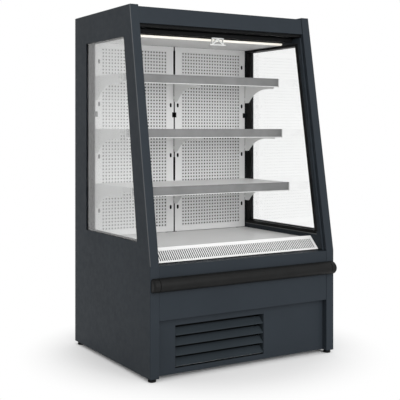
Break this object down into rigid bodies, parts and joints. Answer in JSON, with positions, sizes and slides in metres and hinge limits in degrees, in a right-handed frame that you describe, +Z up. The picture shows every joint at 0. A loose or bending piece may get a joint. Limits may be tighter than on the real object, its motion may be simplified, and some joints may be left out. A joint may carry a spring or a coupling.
{
  "type": "open multideck display fridge",
  "caption": "Open-front chilled display cabinet with sloping glazed side walls, shelves, light, night blind, air grille, bumper and louvred kick panel.",
  "frame": {"origin": "centre of the footprint, on the floor", "axes": "+Z up, the open front faces -Y, +X to the right of someone who stands in front"},
  "size_m": [1, 0.846, 1.635],
  "materials": {
    "anthracite_paint": "smooth powder coat, satin",
    "white_paint": "powder coat, satin",
    "light_grey_paint": "powder coat, satin",
    "shelf_paint": "powder coat, satin",
    "galvanised_sheet": "zinc coated, dull",
    "bumper_plastic": "extruded, fine grain",
    "black_plastic": "moulded, satin",
    "dark_grey_plastic": "moulded, satin",
    "rail_plastic": "extruded, satin",
    "handle_plastic": "moulded, glossy",
    "lamp_diffuser": "frosted diffuser",
    "window_glass": "clear double glazing",
    "blind_cloth": "woven, coated",
    "bare_aluminium": "mill finish",
    "compressor_paint": "gloss stoving enamel"
  },
  "bodies": {
    "cabinet": {"air_honeycomb": "black_plastic", "back_cover": "galvanised_sheet", "base_frame": "galvanised_sheet", "blind_housing": "dark_grey_plastic", "bracket_bottom_centre": "white_paint", "bracket_bottom_left": "white_paint", "bracket_bottom_right": "white_paint", "bracket_middle_centre": "white_paint", "bracket_middle_left": "white_paint", "bracket_middle_right": "white_paint", "bracket_top_centre": "white_paint", "bracket_top_left": "white_paint", "bracket_top_right": "white_paint", "bumper": "bumper_plastic", "bumper_cap_left": "bumper_plastic", "bumper_cap_right": "bumper_plastic", "ceiling_liner": "light_grey_paint", "compressor": "compressor_paint", "condenser_coil": "bare_aluminium", "control_box": "dark_grey_plastic", "drip_tray": "black_plastic", "evap_fan_plate": "galvanised_sheet", "evaporator": "bare_aluminium", "fan_shroud": "galvanised_sheet", "front_panel": "anthracite_paint", "header": "anthracite_paint", "insulated_body": "light_grey_paint", "led_lamp": "lamp_diffuser", "rear_panel_left": "light_grey_paint", "rear_panel_right": "light_grey_paint", "side_glazing_left": "window_glass", "side_glazing_right": "window_glass", "side_wall_left": "anthracite_paint", "side_wall_right": "anthracite_paint", "upright_centre": "galvanised_sheet", "upright_left": "galvanised_sheet", "upright_right": "galvanised_sheet", "window_frame_left": "black_plastic", "window_frame_right": "black_plastic"},
    "night_blind_bar": {"blind_bar": "dark_grey_plastic", "blind_handle": "handle_plastic"},
    "night_blind_roller": {"blind_roller": "bare_aluminium", "blind_fabric": "blind_cloth"},
    "condenser_fan": {"condenser_fan": "dark_grey_plastic"},
    "evaporator_fan_left": {"evap_fan_left": "dark_grey_plastic"},
    "evaporator_fan_right": {"evap_fan_right": "dark_grey_plastic"},
    "deck": {"deck_pan": "white_paint"},
    "grille": {"return_grille": "white_paint"},
    "kick": {"kick_panel": "anthracite_paint"},
    "shelf_top": {"shelf_tray_top": "shelf_paint", "price_rail_top": "rail_plastic"},
    "shelf_middle": {"shelf_tray_middle": "shelf_paint", "price_rail_middle": "rail_plastic"},
    "shelf_bottom": {"shelf_tray_bottom": "shelf_paint", "price_rail_bottom": "rail_plastic"},
    "levelling_foot_front_left": {"foot_front_left": "black_plastic"},
    "levelling_foot_front_right": {"foot_front_right": "black_plastic"},
    "levelling_foot_rear_left": {"foot_rear_left": "black_plastic"},
    "levelling_foot_rear_right": {"foot_rear_right": "black_plastic"}
  },
  "joints": [
    {"name": "night_blind_unroll", "type": "hinge", "parent": "cabinet", "child": "night_blind_roller", "pos_m": [0, -0.141, 1.59], "axis": [-1, 0, 0], "range_deg": [0, 2556], "stiffness_Nm_per_rad": 0.004, "springref_deg": -4010.7},
    {"name": "night_blind_pull", "type": "slide", "parent": "cabinet", "child": "night_blind_bar", "axis": [0, -0.228, -0.9737], "range_m": [0, 1.0045]},
    {"name": "condenser_fan_spin", "type": "hinge", "parent": "cabinet", "child": "condenser_fan", "pos_m": [-0.1275, -0.1927, 0.14], "axis": [0, 1, 0], "continuous": true},
    {"name": "evaporator_fan_left_spin", "type": "hinge", "parent": "cabinet", "child": "evaporator_fan_left", "pos_m": [-0.2, 0.037, 0.462], "axis": [0, 1, 0], "continuous": true},
    {"name": "evaporator_fan_right_spin", "type": "hinge", "parent": "cabinet", "child": "evaporator_fan_right", "pos_m": [0.2, 0.037, 0.462], "axis": [0, 1, 0], "continuous": true},
    {"name": "shelf_top_lift_out", "type": "slide", "parent": "cabinet", "child": "shelf_top", "axis": [0, 0, 1], "range_m": [0, 0.06]},
    {"name": "shelf_middle_lift_out", "type": "slide", "parent": "cabinet", "child": "shelf_middle", "axis": [0, 0, 1], "range_m": [0, 0.06]},
    {"name": "shelf_bottom_lift_out", "type": "slide", "parent": "cabinet", "child": "shelf_bottom", "axis": [0, 0, 1], "range_m": [0, 0.06]},
    {"name": "deck_lift_out", "type": "slide", "parent": "cabinet", "child": "deck", "axis": [0, 0, 1], "range_m": [0, 0.1]},
    {"name": "return_grille_lift_out", "type": "slide", "parent": "cabinet", "child": "grille", "axis": [0, 0, 1], "range_m": [0, 0.06]},
    {"name": "kick_panel_pull_off", "type": "slide", "parent": "cabinet", "child": "kick", "axis": [0, -1, 0], "range_m": [0, 0.15]},
    {"name": "foot_front_left_level", "type": "slide", "parent": "cabinet", "child": "levelling_foot_front_left", "axis": [0, 0, -1], "range_m": [0, 0.012]},
    {"name": "foot_front_right_level", "type": "slide", "parent": "cabinet", "child": "levelling_foot_front_right", "axis": [0, 0, -1], "range_m": [0, 0.012]},
    {"name": "foot_rear_left_level", "type": "slide", "parent": "cabinet", "child": "levelling_foot_rear_left", "axis": [0, 0, -1], "range_m": [0, 0.012]},
    {"name": "foot_rear_right_level", "type": "slide", "parent": "cabinet", "child": "levelling_foot_rear_right", "axis": [0, 0, -1], "range_m": [0, 0.012]}
  ],
  "couplings": [
    {"joint": "night_blind_pull", "follows": "night_blind_unroll", "m_per_rad": 0.0225}
  ]
}
